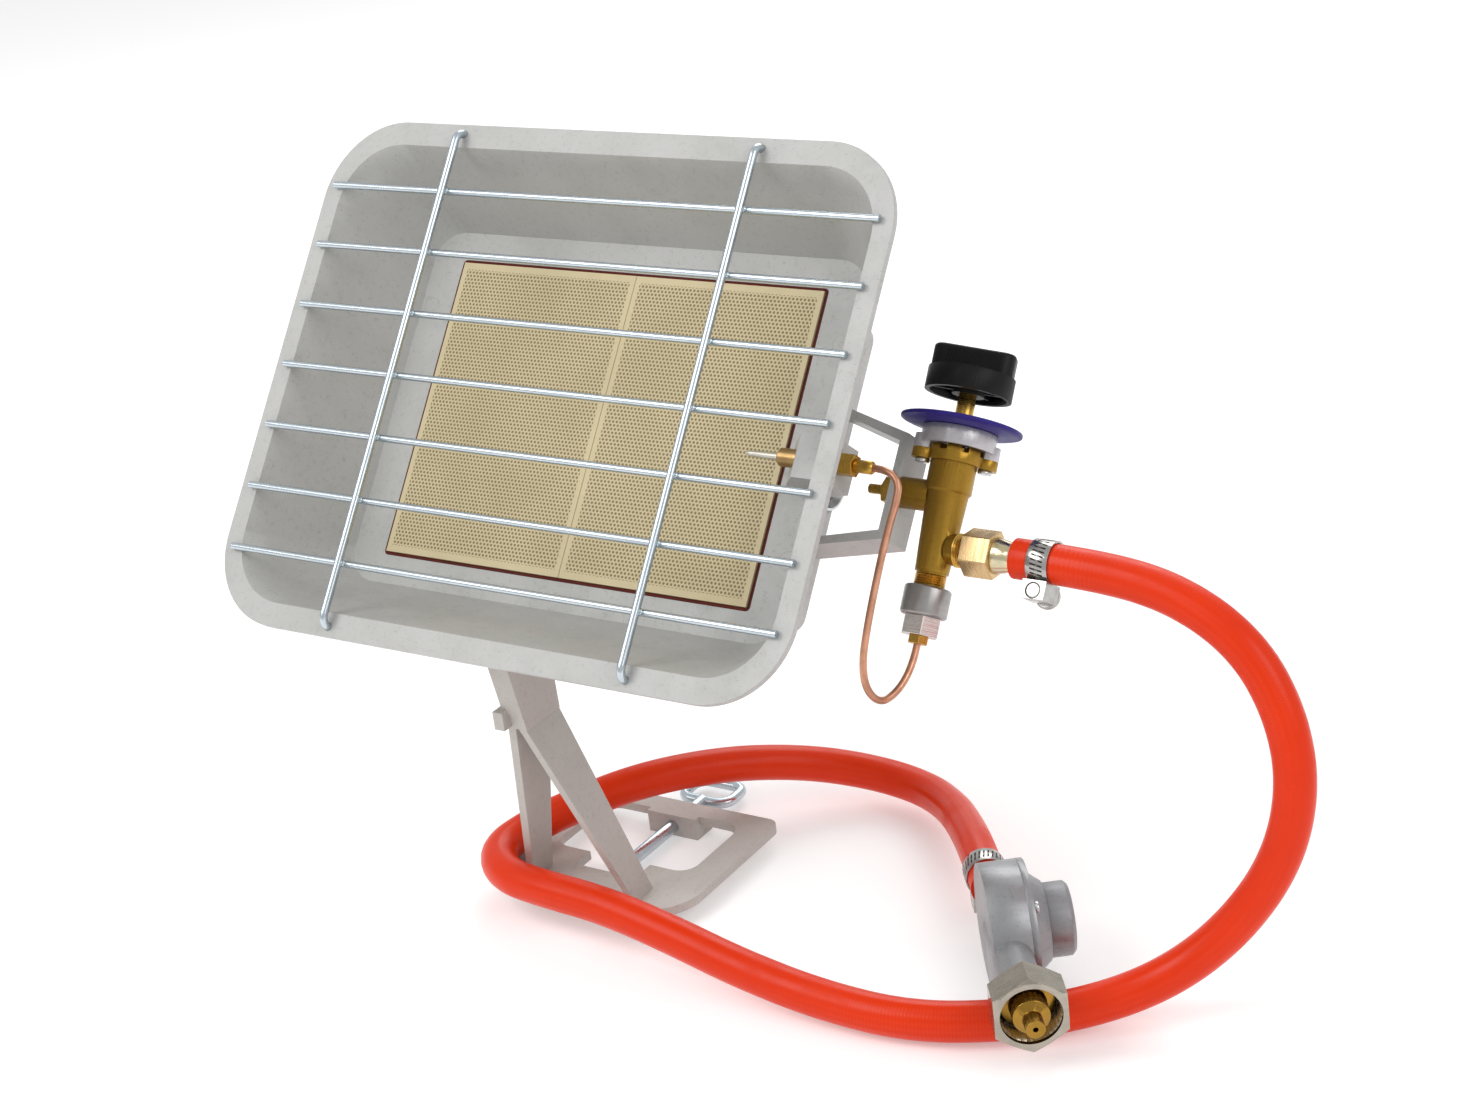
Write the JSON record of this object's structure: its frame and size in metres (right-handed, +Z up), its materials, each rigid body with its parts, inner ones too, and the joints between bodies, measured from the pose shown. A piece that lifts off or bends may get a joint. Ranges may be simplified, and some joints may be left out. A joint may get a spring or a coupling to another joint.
{
  "type": "portable propane heater",
  "caption": "Tabletop radiant gas heater: tilted cast dish with perforated burner plates and wire guard, knob valve, hose and bottle regulator, on a clamp-on stand.",
  "frame": {"origin": "middle of the bottom face of the clamp boss, on the surface that the stand rests on", "axes": "+X to the valve side, +Y to the back of the stand, +Z up"},
  "size_m": [0.4555, 0.1854, 0.3177],
  "materials": {
    "grey_cast": "satin light grey coating on cast aluminium",
    "stand_cast": "satin warm grey coating on cast aluminium",
    "plated_wire": "bright bluish zinc plating",
    "ceramic": "unglazed perforated ceramic, cream",
    "gasket": "dark red fibre strip",
    "plated_steel": "zinc plated steel",
    "probe_steel": "pale heat-proof steel",
    "brass": "cast and machined brass",
    "copper": "drawn copper tube",
    "zinc": "cast zinc",
    "dial_blue": "deep blue-violet moulded plastic",
    "black_plastic": "black moulded plastic",
    "seal_rubber": "black seal rubber",
    "bright_alloy": "turned light alloy",
    "passivated": "yellow passivated steel",
    "orange_hose": "orange rubber gas hose with a faint woven braid",
    "nickel": "bright nickel plating",
    "spring_steel": "plain spring steel"
  },
  "bodies": {
    "heater": {"reflector_housing": "grey_cast", "plenum_cover": "grey_cast", "plaque_gasket": "gasket", "ceramic_plate_left": "ceramic", "ceramic_plate_right": "ceramic", "plaque_retainer": "plated_steel", "gas_baffle": "plated_steel", "mixing_tube": "plated_steel", "plenum_screws": "plated_steel", "guard_cross_wires": "plated_wire", "guard_uprights": "plated_wire", "thermocouple_tip": "probe_steel", "thermocouple_sleeve": "brass", "thermocouple_nut": "brass", "lead_ferrule": "brass", "thermocouple_lead": "copper", "valve_body": "brass", "injector": "brass", "bonnet_ring": "zinc", "bonnet_screws": "plated_steel", "stem_seal": "seal_rubber", "stem_spring": "spring_steel", "dial_disc": "dial_blue", "magnet_unit": "plated_steel", "magnet_housing": "bright_alloy", "magnet_cap": "bright_alloy", "lead_union_nut": "brass", "hose_union_nut": "passivated", "hose_tail": "passivated", "gas_hose": "orange_hose", "valve_hose_clamp": "nickel", "valve_clamp_screw": "nickel", "regulator_hose_clamp": "nickel", "regulator_clamp_screw": "nickel", "regulator_body": "zinc", "regulator_cover": "zinc", "regulator_cap": "zinc", "regulator_diaphragm": "seal_rubber", "regulator_spring": "spring_steel", "regulator_screws": "plated_steel", "inlet_nipple": "brass", "stand_casting": "stand_cast", "stand_bolts": "plated_steel"},
    "valve_spindle": {"valve_plug": "brass"},
    "knob": {"control_knob": "black_plastic", "valve_stem": "brass"},
    "clamp_foot": {"clamp_pad": "plated_wire"},
    "clamp_handle": {"clamp_screw": "plated_wire"},
    "bottle_nut": {"bottle_nut": "nickel"}
  },
  "joints": [
    {"name": "knob_turn", "type": "hinge", "parent": "heater", "child": "valve_spindle", "pos_m": [0.1536, -0.00338, 0.18111], "axis": [0, 0.5635, 0.8261], "range_deg": [0, 180]},
    {"name": "knob_push", "type": "slide", "parent": "valve_spindle", "child": "knob", "axis": [0, -0.5635, -0.8261], "range_m": [0, 0.004], "stiffness_N_per_m": 800, "springref_m": -0.004, "deforming": ["stem_spring"]},
    {"name": "clamp_travel", "type": "slide", "parent": "heater", "child": "clamp_foot", "axis": [0, 1, 0], "range_m": [-0.0082, 0.04]},
    {"name": "clamp_turn", "type": "hinge", "parent": "clamp_foot", "child": "clamp_handle", "pos_m": [0, 0, 0.0048], "axis": [0, 1, 0], "range_deg": [-2951, 14399]},
    {"name": "bottle_nut_turn", "type": "hinge", "parent": "heater", "child": "bottle_nut", "pos_m": [0.2278, -0.10492, 0.026], "axis": [0.5948, -0.8039, 0], "continuous": true}
  ],
  "couplings": [
    {"joint": "clamp_travel", "follows": "clamp_turn", "m_per_rad": 0.00015915}
  ]
}
